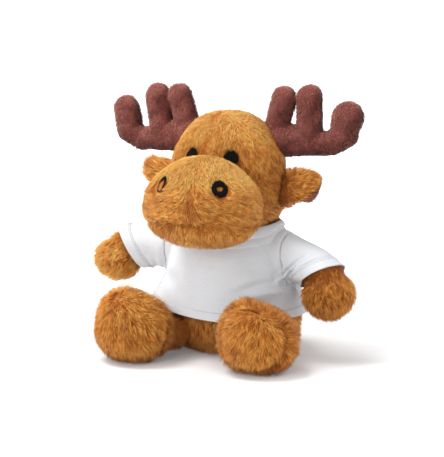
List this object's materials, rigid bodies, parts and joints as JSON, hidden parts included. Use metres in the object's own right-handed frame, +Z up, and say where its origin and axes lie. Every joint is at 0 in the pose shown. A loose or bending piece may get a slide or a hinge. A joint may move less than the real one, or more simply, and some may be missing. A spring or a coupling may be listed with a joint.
{
  "type": "plush reindeer",
  "caption": "Seated plush antlered animal in a plain T-shirt, with stuffed velour antlers, a big muzzle and embroidered eyes; its head, ears, antlers, arms and legs flex at their seams.",
  "frame": {"origin": "middle of the flat seat under the torso, on the surface that the toy sits on", "axes": "+Z up, -Y the way the toy faces, +X to the toy's left"},
  "size_m": [0.2062, 0.1439, 0.1994],
  "materials": {
    "fur": "short golden-tan plush fur with a soft sheen",
    "velour": "short-pile maroon-brown velour",
    "shirt_knit": "plain white jersey knit",
    "black_thread": "satin-stitched black embroidery thread",
    "fibre_fill": "white polyester fibre fill",
    "bag_cloth": "plain cotton bag of pellets"
  },
  "bodies": {
    "torso": {"torso_skin": "fur", "torso_stuffing": "fibre_fill", "pellet_bag": "bag_cloth", "shirt_front": "shirt_knit", "shirt_back": "shirt_knit", "shirt_collar": "shirt_knit"},
    "neck": {"neck_stuffing": "fibre_fill"},
    "head": {"head_skin": "fur", "head_stuffing": "fibre_fill", "muzzle_skin": "fur", "muzzle_stuffing": "fibre_fill", "eye_left": "black_thread", "eye_right": "black_thread", "nostril_left": "black_thread", "nostril_right": "black_thread"},
    "ear_left": {"ear_left_fur": "fur", "ear_left_lining": "velour"},
    "ear_right": {"ear_right_fur": "fur", "ear_right_lining": "velour"},
    "antler_left": {"antler_left_front": "velour", "antler_left_back": "velour", "antler_left_stuffing": "fibre_fill"},
    "antler_right": {"antler_right_front": "velour", "antler_right_back": "velour", "antler_right_stuffing": "fibre_fill"},
    "arm_left": {"arm_left_skin": "fur", "arm_left_stuffing": "fibre_fill", "sleeve_left": "shirt_knit"},
    "arm_right": {"arm_right_skin": "fur", "arm_right_stuffing": "fibre_fill", "sleeve_right": "shirt_knit"},
    "leg_left": {"leg_left_skin": "fur", "sole_left": "fur", "leg_left_stuffing": "fibre_fill"},
    "leg_right": {"leg_right_skin": "fur", "sole_right": "fur", "leg_right_stuffing": "fibre_fill"}
  },
  "joints": [
    {"name": "head_turn", "type": "hinge", "parent": "torso", "child": "neck", "pos_m": [0, 0.002, 0.089], "axis": [0, 0, 1], "range_deg": [-20, 20], "stiffness_Nm_per_rad": 0.5},
    {"name": "head_nod", "type": "hinge", "parent": "neck", "child": "head", "pos_m": [0, 0.002, 0.089], "axis": [1, 0, 0], "range_deg": [-10, 4], "stiffness_Nm_per_rad": 1.5},
    {"name": "ear_left_flap", "type": "hinge", "parent": "head", "child": "ear_left", "pos_m": [0.04166, -0.004, 0.124], "axis": [-0.3308, 0.4695, 0.8187], "range_deg": [-18, 18], "stiffness_Nm_per_rad": 0.03},
    {"name": "ear_right_flap", "type": "hinge", "parent": "head", "child": "ear_right", "pos_m": [-0.04166, -0.004, 0.124], "axis": [-0.3308, -0.4695, -0.8187], "range_deg": [-18, 18], "stiffness_Nm_per_rad": 0.03},
    {"name": "antler_left_swing", "type": "hinge", "parent": "head", "child": "antler_left", "pos_m": [0.03454, 0.006, 0.1595], "axis": [0, 0, 1], "range_deg": [-15, 15], "stiffness_Nm_per_rad": 0.06},
    {"name": "antler_right_swing", "type": "hinge", "parent": "head", "child": "antler_right", "pos_m": [-0.03454, 0.006, 0.1595], "axis": [0, 0, -1], "range_deg": [-15, 15], "stiffness_Nm_per_rad": 0.06},
    {"name": "arm_left_raise", "type": "hinge", "parent": "torso", "child": "arm_left", "pos_m": [0.04624, -0.004, 0.075], "axis": [-0.2079, -0.9781, 0], "range_deg": [-12, 40], "stiffness_Nm_per_rad": 0.2},
    {"name": "arm_right_raise", "type": "hinge", "parent": "torso", "child": "arm_right", "pos_m": [-0.04624, -0.004, 0.075], "axis": [-0.2079, 0.9781, 0], "range_deg": [-12, 40], "stiffness_Nm_per_rad": 0.2},
    {"name": "leg_left_raise", "type": "hinge", "parent": "torso", "child": "leg_left", "pos_m": [0.031, -0.03658, 0.02], "axis": [-0.866, -0.5, 0], "range_deg": [-20, 15], "stiffness_Nm_per_rad": 0.4},
    {"name": "leg_right_raise", "type": "hinge", "parent": "torso", "child": "leg_right", "pos_m": [-0.031, -0.03658, 0.02], "axis": [-0.866, 0.5, 0], "range_deg": [-20, 15], "stiffness_Nm_per_rad": 0.4}
  ]
}
